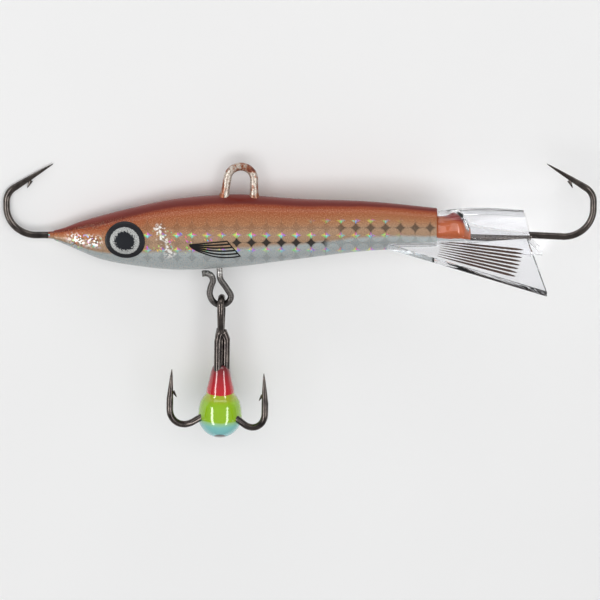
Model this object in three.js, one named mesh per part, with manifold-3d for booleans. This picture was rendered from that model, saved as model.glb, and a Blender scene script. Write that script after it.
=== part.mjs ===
// Ice fishing jig: a cast fish body between two single hooks, with a clear tail fin,
// a line tie on its back and a small treble hook hanging from its belly.
// The jig is modelled upright, with its nose to -X, its back up +Z and its left side
// facing -Y. At the end it is laid down on its right side, as it lies when loose.

import * as THREE from 'three';
import { mergeVertices } from 'three/addons/utils/BufferGeometryUtils.js';
import Module from 'manifold-3d';

const wasm = await Module();
wasm.setup();

// Clearance wherever one piece is set into another
const SEAT_GAP = 0.06;

// Body: stations of [along, top of the back, bottom of the belly]
const BODY_PROFILE = [
  [-32.0, 0.6, -0.66],
  [-30.7, 0.95, -1.17],
  [-28.6, 1.75, -2.1],
  [-26.0, 2.53, -3.17],
  [-22.1, 3.56, -3.98],
  [-16.0, 4.84, -4.6],
  [-8.5, 5.36, -4.22],
  [0.0, 4.84, -3.13],
  [9.0, 4.5, -2.06],
  [17.6, 3.64, -1.78],
];
const BODY_LENGTH_STEPS = 31;
const BODY_SIDES = 20;
const BODY_THICKNESS_RATIO = 0.72;
const SHOULDER_LENGTH = 0.22;
const SHOULDER_SCALE = 0.93;

// Stub of the body inside the tail sleeve: a neck, a knob and a sloping end
const STUB_PROFILE = [
  [17.0, 2.64, -0.7],
  [18.6, 2.56, -0.7],
  [20.0, 3.0, -0.7],
  [21.2, 2.5, -0.66],
  [22.1, 1.3, -0.5],
];
const STUB_LENGTH_STEPS = 10;
const STUB_THICKNESS_RATIO = 0.86;

// Single hooks: wire, round bend, short rise, upper bend and barbed spear
const HOOK_WIRE_RADIUS = 0.44;
const HOOK_BEND_RADIUS = 3.8;
const HOOK_UPPER_BEND_RADIUS = 2.2;
const HOOK_UPPER_BEND_TURN = THREE.MathUtils.degToRad(59);
const HOOK_RISE_TOP = 4.56;
const HOOK_REACH = 38.1;
const HOOK_TIP = [32.0, 9.68];
const SPEAR_FULLNESS = 0.75;
const HOOK_BARB_ROOT = [34.9, 7.4];
const HOOK_BARB_TIP = [35.38, 6.4];
const NOSE_SHANK_INNER_END = 23.5;
const TAIL_SHANK_INNER_END = 13.0;
const TAIL_SHANK_EXIT = 30.0;
const TAIL_SHANK_DROP = 0.22;
const POINT_RADIUS = 0.035;
const WIRE_SIDES = 10;

// One bent wire: belly loop, leg through the body, line tie on the back
const BELLY_WIRE_RADIUS = 0.41;
const PAINTED_WIRE_RADIUS = 0.53;
const BELLY_LOOP = [
  [-12.75, -5.28],
  [-12.15, -5.24],
  [-11.58, -5.55],
  [-11.34, -6.25],
  [-11.62, -7.1],
  [-11.76, -8.1],
  [-11.3, -9.1],
  [-10.4, -9.57],
  [-9.45, -9.25],
  [-9.0, -8.35],
  [-9.64, -7.15],
  [-10.36, -6.0],
  [-10.46, -4.7],
];
const TIE_LEFT_FOOT = [-9.82, 5.4];
const TIE_ARC_CENTRE = [-7.69, 7.57];
const TIE_ARC_RADIUS = 1.73;
const TIE_RIGHT_FOOT = [-5.95, 5.2];
const TIE_RIGHT_END = [-5.95, 3.2];

// Treble hook: lengths are measured down its own axis from the top of its eye
const TREBLE_TOP = [-10.22, 0, -8.12];
const TREBLE_SWING_RIGHT = THREE.MathUtils.degToRad(0.65);
const TREBLE_SWING_FORWARD = THREE.MathUtils.degToRad(0.9);
const TREBLE_TWIST = THREE.MathUtils.degToRad(84.5);
const TREBLE_WIRE_RADIUS = 0.44;
const TREBLE_SHANK_RADIUS = 0.5;
const TREBLE_SHANK_OFFSET = 0.68;
const TREBLE_SHANK_TWIST = 32;
const TREBLE_SHANK_END = 14.6;
const TREBLE_NECK_OFFSET = 0.24;
const TREBLE_NECK_TOPS = [4.9, 5.2, 5.0];
const TREBLE_NECK_LENGTH = 1.1;
const TREBLE_BRANCH_OFFSET = 0.5;
const TREBLE_BRANCH_BEND_RADIUS = 1.0;
const TREBLE_BRANCH_LEAD = 0.4;
const TREBLE_BEND_RADIUS = 2.4;
const TREBLE_BEND_CENTRE = [4.8, 14.88];
const TREBLE_BEND_SLOPE = THREE.MathUtils.degToRad(23);
const TREBLE_SPEAR_START = 13.5;
const TREBLE_TIP = [6.96, 9.42];
const TREBLE_BARB_ROOT = [6.75, 12.5];
const TREBLE_BARB_TIP = [6.24, 13.35];
const TREBLE_CORE_RADIUS = 0.45;
const TREBLE_EYE = [
  [0.22, 5.7],
  [0.42, 4.4],
  [1.0, 2.75],
  [1.12, 1.58],
  [0.78, 0.76],
  [0.0, 0.45],
];

// Bead: profile of [radius, distance down the treble's axis]; its lower part is a ball
const BEAD_TOP = 9.6;
const BEAD_CONE = [
  [0.78, 9.7],
  [1.06, 10.6],
  [1.5, 11.9],
  [1.76, 12.9],
  [1.88, 13.7],
  [2.24, 14.2],
  [2.6, 14.85],
  [2.8, 15.7],
];
const BEAD_BALL_RADIUS = 2.89;
const BEAD_BALL_CENTRE = 16.75;
const BEAD_BALL_START = THREE.MathUtils.degToRad(15);
const BEAD_SIDES = 20;

// Tail fin: stations of the sleeve as for the body, and the wings in their own plane
const SLEEVE_PROFILE = [
  [17.95, 3.2, -1.5],
  [20.5, 3.5, -1.5],
  [23.4, 3.62, -1.25],
  [27.0, 3.5, -0.9],
  [31.0, 3.1, -0.62],
];
const SLEEVE_LENGTH_STEPS = 8;
const SLEEVE_SIDES = 18;
const SLEEVE_THICKNESS_RATIO = 0.86;
const SLEEVE_END_TOP = 29.1;
const SLEEVE_END_SLANT = THREE.MathUtils.degToRad(15);
const SOCKET_TAPER = [
  [21.9, 1.55, -0.75],
  [24.5, 1.1, -0.62],
  [31.5, 0.52, -0.75],
];
const WING_HALF_ANGLE = THREE.MathUtils.degToRad(60);
const WING_THICKNESS = 1.0;
const WING_OUTLINE = [
  [9.9, 1.45],
  [9.9, 0.3],
  [29.4, 0.3],
  [31.9, 10.4],
];

// Eyes: oval discs set square to the side of the head and following its curve
const EYE_CENTRE = [-22.7, 2.6, 0.03];
const EYE_HALF_LENGTH = 2.63;
const EYE_HALF_HEIGHT = 2.44;
const EYE_TOE_IN = THREE.MathUtils.degToRad(9);
const EYE_CANT = THREE.MathUtils.degToRad(2.5);
const EYE_LIFT = 0.04;
const EYE_THICKNESS = 0.16;
const EYE_SIDES = 22;

// How the jig lies on its right side: turned about its own length, then tail up
const REST_ROLL = THREE.MathUtils.degToRad(-90 - 9.39);
const REST_PITCH = THREE.MathUtils.degToRad(-5.69);

const MATERIALS = {
  body: new THREE.MeshStandardMaterial({ color: 0xb9774a, roughness: 0.25, metalness: 0.7 }),
  hook: new THREE.MeshStandardMaterial({ color: 0x3a3636, roughness: 0.3, metalness: 1.0 }),
  wire: new THREE.MeshStandardMaterial({ color: 0x6b625c, roughness: 0.35, metalness: 0.9 }),
  bead: new THREE.MeshStandardMaterial({ color: 0x8fc31a, roughness: 0.12, metalness: 0.0 }),
  clear: new THREE.MeshStandardMaterial({
    color: 0xe9edf2, roughness: 0.05, metalness: 0.0, transparent: true, opacity: 0.35,
  }),
  eye: new THREE.MeshStandardMaterial({ color: 0x15161a, roughness: 0.2, metalness: 0.2 }),
};

// Closed skin over rings of points that all have the same count, capped at both ends
function skin(rings) {
  const sides = rings[0].length;
  const positions = rings.flat().flatMap((p) => [p.x, p.y, p.z]);
  const index = [];
  for (let ring = 0; ring + 1 < rings.length; ring += 1) {
    for (let side = 0; side < sides; side += 1) {
      const a = ring * sides + side;
      const b = ring * sides + (side + 1) % sides;
      index.push(a, b, b + sides, a, b + sides, a + sides);
    }
  }
  const last = (rings.length - 1) * sides;
  for (let side = 1; side + 1 < sides; side += 1) {
    index.push(0, side + 1, side);
    index.push(last, last + side, last + side + 1);
  }
  const geometry = new THREE.BufferGeometry();
  geometry.setAttribute('position', new THREE.Float32BufferAttribute(positions, 3));
  geometry.setIndex(index);
  return geometry;
}

// A closed geometry as a solid that can be joined and cut
function solid(geometry) {
  const bare = geometry.clone();
  bare.deleteAttribute('normal');
  bare.deleteAttribute('uv');
  const merged = mergeVertices(bare);
  return new wasm.Manifold(new wasm.Mesh({
    numProp: 3,
    vertProperties: new Float32Array(merged.attributes.position.array),
    triVerts: new Uint32Array(merged.index.array),
  }));
}

function geometryOf(body) {
  const mesh = body.getMesh();
  const geometry = new THREE.BufferGeometry();
  geometry.setAttribute('position', new THREE.Float32BufferAttribute(mesh.vertProperties, 3));
  geometry.setIndex([...mesh.triVerts]);
  return geometry;
}

function joined(solids) {
  return solids.reduce((whole, part) => whole.add(part));
}

// The body itself, without the specks of no volume that crossing wires leave
function largest(body) {
  return body.decompose().reduce((big, part) => (part.volume() > big.volume() ? part : big));
}

// Smooth value between the stations of a profile, with the slopes of its neighbours
function along(profile, column, x) {
  const last = profile.length - 1;
  const clamped = THREE.MathUtils.clamp(x, profile[0][0], profile[last][0]);
  const found = profile.findIndex((station) => station[0] >= clamped);
  const i = THREE.MathUtils.clamp(found - 1, 0, last - 1);
  const slope = (k) => {
    const before = profile[Math.max(k - 1, 0)];
    const after = profile[Math.min(k + 1, last)];
    return (after[column] - before[column]) / (after[0] - before[0]);
  };
  const span = profile[i + 1][0] - profile[i][0];
  const t = (clamped - profile[i][0]) / span;
  const start = (1 + 2 * t) * (1 - t) ** 2 * profile[i][column];
  const end = t * t * (3 - 2 * t) * profile[i + 1][column];
  const lean = t * (1 - t) ** 2 * slope(i) - t * t * (1 - t) * slope(i + 1);
  return start + end + lean * span;
}

// Oval section of a profile at one station, grown outwards by a margin
function ovalRing(profile, x, sides, ratio, grow = 0, scale = 1) {
  const top = along(profile, 1, x);
  const bottom = along(profile, 2, x);
  const middle = (top + bottom) / 2;
  const halfHeight = scale * (top - bottom) / 2 + grow;
  const halfWidth = scale * ratio * (top - bottom) / 2 + grow;
  return Array.from({ length: sides }, (_, side) => {
    const angle = (2 * Math.PI * side) / sides;
    return new THREE.Vector3(x, halfWidth * Math.cos(angle), middle + halfHeight * Math.sin(angle));
  });
}

function stationsBetween(start, end, steps) {
  return Array.from({ length: steps + 1 }, (_, step) => start + ((end - start) * step) / steps);
}

function ovalLoft(profile, steps, sides, ratio, grow = 0) {
  const start = profile[0][0];
  const end = profile[profile.length - 1][0];
  return stationsBetween(start, end, steps).map((x) => ovalRing(profile, x, sides, ratio, grow));
}

// Round wire along a path in the XZ plane, given as points with a radius for each
function wire(points, radii, sides = WIRE_SIDES) {
  const across = new THREE.Vector3(0, 1, 0);
  const rings = points.map((point, k) => {
    const before = points[Math.max(k - 1, 0)];
    const after = points[Math.min(k + 1, points.length - 1)];
    const heading = new THREE.Vector3(after.x - before.x, 0, after.y - before.y).normalize();
    const inward = new THREE.Vector3().crossVectors(heading, across);
    return Array.from({ length: sides }, (_, side) => {
      const angle = (2 * Math.PI * side) / sides;
      return new THREE.Vector3(point.x, 0, point.y)
        .addScaledVector(across, radii[k] * Math.cos(angle))
        .addScaledVector(inward, radii[k] * Math.sin(angle));
    });
  });
  return skin(rings);
}

// Points of a path without the doubles where its stretches meet
function pathPoints(path, divisions) {
  const points = path.getPoints(divisions);
  return points.filter((p, k) => k === 0 || p.distanceTo(points[k - 1]) > 0.02);
}

// Full wire as far as the spear, then narrowing to the point, fuller near the bend
function spearRadii(points, spearLength, radius) {
  const tip = points[points.length - 1];
  return points.map((p) => {
    const share = Math.min(1, p.distanceTo(tip) / spearLength) ** SPEAR_FULLNESS;
    return POINT_RADIUS + (radius - POINT_RADIUS) * share;
  });
}

// Barb: a flat thorn from its root on the spear to its own tip
function barb(root, tip, rootRadius) {
  const points = [new THREE.Vector2(...root), new THREE.Vector2(...tip)];
  return wire(points, [rootRadius, POINT_RADIUS], 6);
}

// Single hook in the XZ plane with its shank along +X
function singleHook(shankInnerEnd, drop, grow = 0) {
  const bendX = HOOK_REACH - HOOK_BEND_RADIUS;
  const bendZ = HOOK_BEND_RADIUS - drop;
  const upperX = HOOK_REACH - HOOK_UPPER_BEND_RADIUS;
  const path = new THREE.Path();
  path.moveTo(shankInnerEnd, 0);
  path.lineTo(TAIL_SHANK_EXIT, 0);
  path.lineTo(bendX, -drop);
  path.absarc(bendX, bendZ, HOOK_BEND_RADIUS, -Math.PI / 2, 0, false);
  path.absarc(upperX, HOOK_RISE_TOP, HOOK_UPPER_BEND_RADIUS, 0, HOOK_UPPER_BEND_TURN, false);
  path.lineTo(...HOOK_TIP);
  const points = pathPoints(path, 5);
  const spearLength = points[points.length - 1].distanceTo(points[points.length - 2]);
  const radii = spearRadii(points, spearLength, HOOK_WIRE_RADIUS);
  return joined([
    solid(wire(points, radii.map((radius) => radius + grow))),
    solid(barb(HOOK_BARB_ROOT, HOOK_BARB_TIP, HOOK_WIRE_RADIUS * 0.6)),
  ]);
}

function noseHook(grow = 0) {
  return singleHook(NOSE_SHANK_INNER_END, 0, grow).rotate([0, 0, 180]);
}

function tailHook(grow = 0) {
  return singleHook(TAIL_SHANK_INNER_END, TAIL_SHANK_DROP, grow);
}

// The wire from its cut end round the belly loop, up through the body and over the back
function lineTieWire(grow = 0) {
  const path = new THREE.Path();
  const [first, ...rest] = BELLY_LOOP.map((point) => new THREE.Vector2(...point));
  path.moveTo(first.x, first.y);
  path.splineThru(rest);
  path.lineTo(...TIE_LEFT_FOOT);
  path.absarc(...TIE_ARC_CENTRE, TIE_ARC_RADIUS, Math.PI, 0, true);
  path.lineTo(...TIE_RIGHT_FOOT);
  path.lineTo(...TIE_RIGHT_END);
  const points = pathPoints(path, 4);
  const radii = points.map((p) => grow + (p.y > 0 ? PAINTED_WIRE_RADIUS : BELLY_WIRE_RADIUS));
  return solid(wire(points, radii, 8));
}

// One straight wire of the treble's shank, drawn in to the neck at its top
function trebleShank(neckTop, grow = 0) {
  const points = [
    new THREE.Vector2(TREBLE_NECK_OFFSET, -neckTop),
    new THREE.Vector2(TREBLE_SHANK_OFFSET, -neckTop - TREBLE_NECK_LENGTH),
    new THREE.Vector2(TREBLE_SHANK_OFFSET, -TREBLE_SHANK_END),
  ];
  return solid(wire(points, points.map(() => TREBLE_SHANK_RADIUS + grow), 8));
}

// One hook of the treble in its own XZ plane: turn outwards, round bend, spear
function trebleBranch(grow = 0) {
  const [bendR, bendDown] = TREBLE_BEND_CENTRE;
  const bendStart = -Math.PI / 2 - TREBLE_BEND_SLOPE;
  const startR = bendR + TREBLE_BEND_RADIUS * Math.cos(bendStart);
  const startZ = -bendDown + TREBLE_BEND_RADIUS * Math.sin(bendStart);
  const turnRadius = TREBLE_BRANCH_BEND_RADIUS;
  const turnEndR = TREBLE_BRANCH_OFFSET + turnRadius * (1 - Math.sin(TREBLE_BEND_SLOPE));
  const turnEndZ = startZ + (startR - turnEndR) * Math.tan(TREBLE_BEND_SLOPE);
  const turnZ = turnEndZ + turnRadius * Math.cos(TREBLE_BEND_SLOPE);
  const path = new THREE.Path();
  path.moveTo(TREBLE_BRANCH_OFFSET, turnZ + TREBLE_BRANCH_LEAD);
  path.lineTo(TREBLE_BRANCH_OFFSET, turnZ);
  path.absarc(
    TREBLE_BRANCH_OFFSET + turnRadius, turnZ, turnRadius,
    Math.PI, 1.5 * Math.PI - TREBLE_BEND_SLOPE, false,
  );
  path.absarc(bendR, -bendDown, TREBLE_BEND_RADIUS, bendStart, 0, false);
  path.lineTo(bendR + TREBLE_BEND_RADIUS, -TREBLE_SPEAR_START);
  path.lineTo(TREBLE_TIP[0], -TREBLE_TIP[1]);
  const points = pathPoints(path, 4);
  const radii = spearRadii(points, TREBLE_SPEAR_START - TREBLE_TIP[1], TREBLE_WIRE_RADIUS);
  return solid(wire(points, radii.map((radius) => radius + grow), 8));
}

function trebleBarb() {
  const root = [TREBLE_BARB_ROOT[0], -TREBLE_BARB_ROOT[1]];
  const tip = [TREBLE_BARB_TIP[0], -TREBLE_BARB_TIP[1]];
  return solid(barb(root, tip, TREBLE_WIRE_RADIUS * 0.5));
}

function trebleShanks(grow = 0) {
  const turns = [0, 120, 240];
  const branches = turns.map((turn) => trebleBranch(grow).rotate([0, 0, turn]));
  const shanks = turns.map((turn, k) => trebleShank(TREBLE_NECK_TOPS[k], grow)
    .rotate([0, 0, turn + TREBLE_SHANK_TWIST]));
  const coreTop = TREBLE_NECK_TOPS[0] + TREBLE_NECK_LENGTH / 2;
  const coreLength = TREBLE_BEND_CENTRE[1] - coreTop;
  const core = new THREE.CylinderGeometry(
    TREBLE_CORE_RADIUS + grow, TREBLE_CORE_RADIUS + grow, coreLength, 6,
  );
  core.rotateX(Math.PI / 2);
  core.translate(0, 0, -coreTop - coreLength / 2);
  return joined([...branches, ...shanks, solid(core)]);
}

// Eye: the wire goes up one side, over the top and down the other side of a drop shape
function trebleEye() {
  const rising = TREBLE_EYE.map(([side, down]) => new THREE.Vector2(side, -down));
  const falling = rising.slice(0, -1).reverse().map((p) => new THREE.Vector2(-p.x, p.y));
  const curve = new THREE.SplineCurve([...rising, ...falling]);
  const points = curve.getPoints(24);
  return solid(wire(points, points.map(() => TREBLE_WIRE_RADIUS), 8));
}

function trebleHook() {
  const barbs = [0, 120, 240].map((turn) => trebleBarb().rotate([0, 0, turn]));
  return largest(joined([trebleShanks(), trebleEye(), ...barbs]));
}

function trebleBead() {
  const profile = [new THREE.Vector2(0, -BEAD_TOP)];
  const cone = new THREE.SplineCurve(BEAD_CONE.map(([r, down]) => new THREE.Vector2(r, -down)));
  profile.push(...cone.getPoints(10));
  const ballSteps = 8;
  for (let step = 0; step < ballSteps; step += 1) {
    const angle = BEAD_BALL_START - ((BEAD_BALL_START + Math.PI / 2) * step) / ballSteps;
    profile.push(new THREE.Vector2(
      BEAD_BALL_RADIUS * Math.cos(angle), -BEAD_BALL_CENTRE + BEAD_BALL_RADIUS * Math.sin(angle),
    ));
  }
  profile.push(new THREE.Vector2(0, -BEAD_BALL_CENTRE - BEAD_BALL_RADIUS));
  const drop = new THREE.LatheGeometry(profile.reverse(), BEAD_SIDES);
  drop.rotateX(Math.PI / 2);
  return solid(drop).subtract(trebleShanks(SEAT_GAP));
}

function bodyShell(grow = 0) {
  const last = BODY_PROFILE[BODY_PROFILE.length - 1][0];
  const rings = ovalLoft(BODY_PROFILE, BODY_LENGTH_STEPS, BODY_SIDES, BODY_THICKNESS_RATIO, grow);
  const shoulder = ovalRing(
    BODY_PROFILE, last, BODY_SIDES, BODY_THICKNESS_RATIO, grow, SHOULDER_SCALE,
  );
  shoulder.forEach((p) => { p.x = last + SHOULDER_LENGTH; });
  rings.push(shoulder);
  return solid(skin(rings));
}

function stub(grow = 0) {
  const rings = ovalLoft(STUB_PROFILE, STUB_LENGTH_STEPS, BODY_SIDES, STUB_THICKNESS_RATIO, grow);
  return solid(skin(rings));
}

function fishBody() {
  return joined([bodyShell(), stub()])
    .subtract(noseHook(SEAT_GAP))
    .subtract(tailHook(SEAT_GAP))
    .subtract(lineTieWire(SEAT_GAP));
}

// Disc of the head's own surface, lifted by a hair and as thick as a sticker
function eyeSticker(side) {
  const reach = 4;
  const [x, y, z] = EYE_CENTRE;
  const disc = new THREE.CylinderGeometry(1, 1, reach, EYE_SIDES);
  disc.scale(EYE_HALF_LENGTH, 1, EYE_HALF_HEIGHT);
  disc.rotateZ(side * EYE_TOE_IN);
  disc.rotateX(side * EYE_CANT);
  disc.translate(x, side * y, z);
  return solid(disc)
    .intersect(bodyShell(EYE_LIFT + EYE_THICKNESS))
    .subtract(bodyShell(EYE_LIFT));
}

// Flat wing in a plane through the shank, one each side below the sleeve
function wing(side) {
  const outline = new THREE.Shape(WING_OUTLINE.map((point) => new THREE.Vector2(...point)));
  const plate = new THREE.ExtrudeGeometry(outline, { depth: WING_THICKNESS, bevelEnabled: false });
  plate.translate(0, 0, -WING_THICKNESS / 2);
  const length = new THREE.Vector3(1, 0, 0);
  const outward = new THREE.Vector3(0, side * Math.sin(WING_HALF_ANGLE), -Math.cos(WING_HALF_ANGLE));
  const facing = new THREE.Vector3().crossVectors(length, outward);
  plate.applyMatrix4(new THREE.Matrix4().makeBasis(length, outward, facing));
  return solid(plate);
}

// Block that trims the sleeve's rear end on a slant
function sleeveEndTrim() {
  const size = 12;
  const block = new THREE.BoxGeometry(size, size, size);
  block.translate(size / 2, 0, 0);
  block.rotateY(-SLEEVE_END_SLANT);
  block.translate(SLEEVE_END_TOP, 0, SLEEVE_PROFILE[SLEEVE_PROFILE.length - 1][1]);
  return solid(block);
}

function tailFin() {
  const sleeve = solid(skin(
    ovalLoft(SLEEVE_PROFILE, SLEEVE_LENGTH_STEPS, SLEEVE_SIDES, SLEEVE_THICKNESS_RATIO),
  ));
  const cavity = solid(skin(ovalLoft(SOCKET_TAPER, 6, SLEEVE_SIDES, STUB_THICKNESS_RATIO)));
  return sleeve.subtract(sleeveEndTrim())
    .add(wing(-1))
    .add(wing(1))
    .subtract(cavity)
    .subtract(bodyShell(2 * SEAT_GAP))
    .subtract(stub(SEAT_GAP))
    .subtract(tailHook(SEAT_GAP));
}

function named(name, body, material) {
  const mesh = new THREE.Mesh(geometryOf(body), material);
  mesh.name = name;
  return mesh;
}

const treble = new THREE.Group();
treble.add(named('treble_hook', trebleHook(), MATERIALS.hook));
treble.add(named('treble_bead', trebleBead(), MATERIALS.bead));
treble.children.forEach((mesh) => { mesh.rotation.z = TREBLE_TWIST; });
treble.rotation.set(TREBLE_SWING_RIGHT, TREBLE_SWING_FORWARD, 0);
treble.position.set(...TREBLE_TOP);

const jig = new THREE.Group();
jig.add(
  named('body', fishBody(), MATERIALS.body),
  named('nose_hook', noseHook(), MATERIALS.hook),
  named('tail_hook', tailHook(), MATERIALS.hook),
  named('line_tie_wire', lineTieWire(), MATERIALS.wire),
  named('tail_fin', tailFin(), MATERIALS.clear),
  named('eye_left', eyeSticker(-1), MATERIALS.eye),
  named('eye_right', eyeSticker(1), MATERIALS.eye),
  treble,
);

// Lay the jig down and set its lowest point on the floor, centred over the origin
jig.rotation.set(REST_ROLL, REST_PITCH, 0, 'YXZ');
const root = new THREE.Group();
root.add(jig);
root.updateMatrixWorld(true);
const box = new THREE.Box3().setFromObject(root, true);
jig.position.set(
  -(box.min.x + box.max.x) / 2, -(box.min.y + box.max.y) / 2, -box.min.z,
);

export default root;
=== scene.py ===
"""Looks of the ice fishing jig: painted foil body, black nickel hooks, enamel bead, clear tail fin.

Shapes are made in millimetres in the jig's own upright frame (nose to -X, back up +Z, left side
facing -Y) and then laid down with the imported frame.
"""

import math

import bmesh
import bpy
import numpy as np
from mathutils import Matrix, Vector


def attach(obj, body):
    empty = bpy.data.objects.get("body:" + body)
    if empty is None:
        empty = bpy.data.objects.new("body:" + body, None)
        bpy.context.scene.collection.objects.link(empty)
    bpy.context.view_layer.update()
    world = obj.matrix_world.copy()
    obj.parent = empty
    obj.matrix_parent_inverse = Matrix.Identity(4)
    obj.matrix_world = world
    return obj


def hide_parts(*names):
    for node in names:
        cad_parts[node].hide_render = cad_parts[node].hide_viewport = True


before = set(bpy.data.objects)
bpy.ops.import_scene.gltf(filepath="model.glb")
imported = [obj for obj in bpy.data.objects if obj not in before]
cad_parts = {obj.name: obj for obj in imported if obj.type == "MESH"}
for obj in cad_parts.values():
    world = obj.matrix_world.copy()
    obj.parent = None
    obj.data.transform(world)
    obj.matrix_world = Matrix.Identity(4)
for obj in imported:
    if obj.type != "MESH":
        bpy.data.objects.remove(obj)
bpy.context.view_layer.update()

MM = 0.001

# How the jig lies: turned about its own length, then tail up
REST_ROLL = math.radians(-90 - 9.39)
REST_PITCH = math.radians(-5.69)
NOSE_SHANK_INNER_END = 23.5

# The photograph: 0.13 mm to a pixel, the jig's axis at pixel (300, 235), camera rolled over the back
PIXEL = 0.13
AXIS_PIXEL = (300.0, 235.0)
IMAGE_SIZE = 600
VIEW_ROLL = math.radians(18)
VIEW_DISTANCE = 1000.0
SENSOR = 36.0

# Body: stations of [along, top of the back, bottom of the belly]
BODY_PROFILE = [
    (-32.0, 0.6, -0.66),
    (-30.7, 0.95, -1.17),
    (-28.6, 1.75, -2.1),
    (-26.0, 2.53, -3.17),
    (-22.1, 3.56, -3.98),
    (-16.0, 4.84, -4.6),
    (-8.5, 5.36, -4.22),
    (0.0, 4.84, -3.13),
    (9.0, 4.5, -2.06),
    (17.6, 3.64, -1.78),
]
BODY_RATIO = 0.72
BODY_STATIONS = 230
BODY_SIDES = 120
NOSE_ROUNDING = 0.12
COLLAR_LENGTH = 0.7
SHOULDER_LENGTH = 0.22
SHOULDER_SCALE = 0.93

STUB_PROFILE = [
    (17.0, 2.64, -0.7),
    (18.6, 2.56, -0.7),
    (20.0, 3.0, -0.7),
    (21.2, 2.5, -0.66),
    (22.1, 1.3, -0.5),
]
STUB_RATIO = 0.86

# Single hooks
HOOK_WIRE_RADIUS = 0.44
HOOK_BEND_RADIUS = 3.8
HOOK_UPPER_BEND_RADIUS = 2.2
HOOK_UPPER_BEND_TURN = math.radians(59)
HOOK_RISE_TOP = 4.56
HOOK_REACH = 38.1
HOOK_TIP = (32.0, 9.68)
SPEAR_FULLNESS = 0.75
HOOK_BARB_ROOT = (34.9, 7.4)
HOOK_BARB_TIP = (35.38, 6.4)
TAIL_SHANK_INNER_END = 13.0
TAIL_SHANK_EXIT = 30.0
TAIL_SHANK_DROP = 0.22
POINT_RADIUS = 0.035

# One bent wire: belly loop, leg through the body, line tie on the back
BELLY_WIRE_RADIUS = 0.41
PAINTED_WIRE_RADIUS = 0.53
BELLY_LOOP = [
    (-12.75, -5.28),
    (-12.15, -5.24),
    (-11.58, -5.55),
    (-11.34, -6.25),
    (-11.62, -7.1),
    (-11.76, -8.1),
    (-11.3, -9.1),
    (-10.4, -9.57),
    (-9.45, -9.25),
    (-9.0, -8.35),
    (-9.64, -7.15),
    (-10.36, -6.0),
    (-10.46, -4.7),
]
TIE_LEFT_FOOT = (-9.82, 5.4)
TIE_ARC_CENTRE = (-7.69, 7.57)
TIE_ARC_RADIUS = 1.73
TIE_RIGHT_FOOT = (-5.95, 5.2)
TIE_RIGHT_END = (-5.95, 3.2)

# Treble hook: lengths are measured down its own axis from the top of its eye
TREBLE_TOP = (-10.22, 0.0, -8.12)
TREBLE_SWING_RIGHT = math.radians(0.65)
TREBLE_SWING_FORWARD = math.radians(0.9)
TREBLE_TWIST = math.radians(84.5)
TREBLE_WIRE_RADIUS = 0.44
TREBLE_SHANK_RADIUS = 0.5
TREBLE_SHANK_OFFSET = 0.68
TREBLE_SHANK_TWIST = 32
TREBLE_SHANK_END = 14.6
TREBLE_NECK_OFFSET = 0.24
TREBLE_NECK_TOPS = (4.9, 5.2, 5.0)
TREBLE_NECK_LENGTH = 1.1
TREBLE_BRANCH_OFFSET = 0.5
TREBLE_BRANCH_BEND_RADIUS = 1.0
TREBLE_BEND_RADIUS = 2.4
TREBLE_BEND_CENTRE = (4.8, 14.88)
TREBLE_BEND_SLOPE = math.radians(23)
TREBLE_SPEAR_START = 13.5
TREBLE_TIP = (6.96, 9.42)
TREBLE_BARB_ROOT = (6.75, 12.5)
TREBLE_BARB_TIP = (6.24, 13.35)
TREBLE_CORE_RADIUS = 0.45
TREBLE_EYE = [
    (0.22, 5.7),
    (0.42, 4.4),
    (1.0, 2.75),
    (1.12, 1.58),
    (0.78, 0.76),
    (0.0, 0.45),
]
TURNS = (0, 120, 240)

# Bead: profile of (radius, distance down the treble's axis); its lower part is a ball
BEAD_TOP = 9.6
BEAD_CONE = [
    (0.78, 9.7),
    (1.17, 10.3),
    (1.52, 11.9),
    (1.76, 12.9),
    (1.88, 13.7),
    (2.24, 14.2),
    (2.6, 14.85),
    (2.8, 15.7),
]
BEAD_BALL_RADIUS = 2.89
BEAD_BALL_CENTRE = 16.75
BEAD_BALL_START = math.radians(15)
BEAD_DOT_TILT = math.radians(35)

# Tail fin
SLEEVE_PROFILE = [
    (17.95, 3.2, -1.5),
    (20.5, 3.5, -1.5),
    (23.4, 3.62, -1.25),
    (27.0, 3.5, -0.9),
    (31.0, 3.1, -0.62),
]
SLEEVE_RATIO = 0.86
SLEEVE_END_TOP = 29.1
SLEEVE_END_SLANT = math.radians(15)
SOCKET_TAPER = [
    (21.9, 1.55, -0.75),
    (24.5, 1.1, -0.62),
    (31.5, 0.52, -0.75),
]
WING_HALF_ANGLE = math.radians(60)
WING_THICKNESS = 1.0
WING_ROUNDING = 0.1
WING_OUTLINE = [(9.9, 1.45), (9.9, 0.3), (29.4, 0.3), (31.9, 10.4)]
SEAT_GAP = 0.06

# Ink rays on the wing: a fan from a point ahead of it, in (along, outward) like the outline
RAY_COUNT = 8
RAY_APEX = (5.5, -0.2)
RAY_FIRST_ANGLE = math.radians(8)
RAY_LAST_ANGLE = math.radians(19.5)
RAY_WIDTHS = [(13.0, 0.03), (17.0, 0.16), (22.6, 0.2), (23.4, 0.12), (23.7, 0.03)]

# Eyes: oval discs set square to the side of the head and following its curve
EYE_CENTRE = (-22.7, 2.6, 0.03)
EYE_HALF_LENGTH = 2.63
EYE_HALF_HEIGHT = 2.44
EYE_TOE_IN = math.radians(9)
EYE_CANT = math.radians(2.5)
EYE_LIFT = 0.04
EYE_THICKNESS = 0.16


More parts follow.
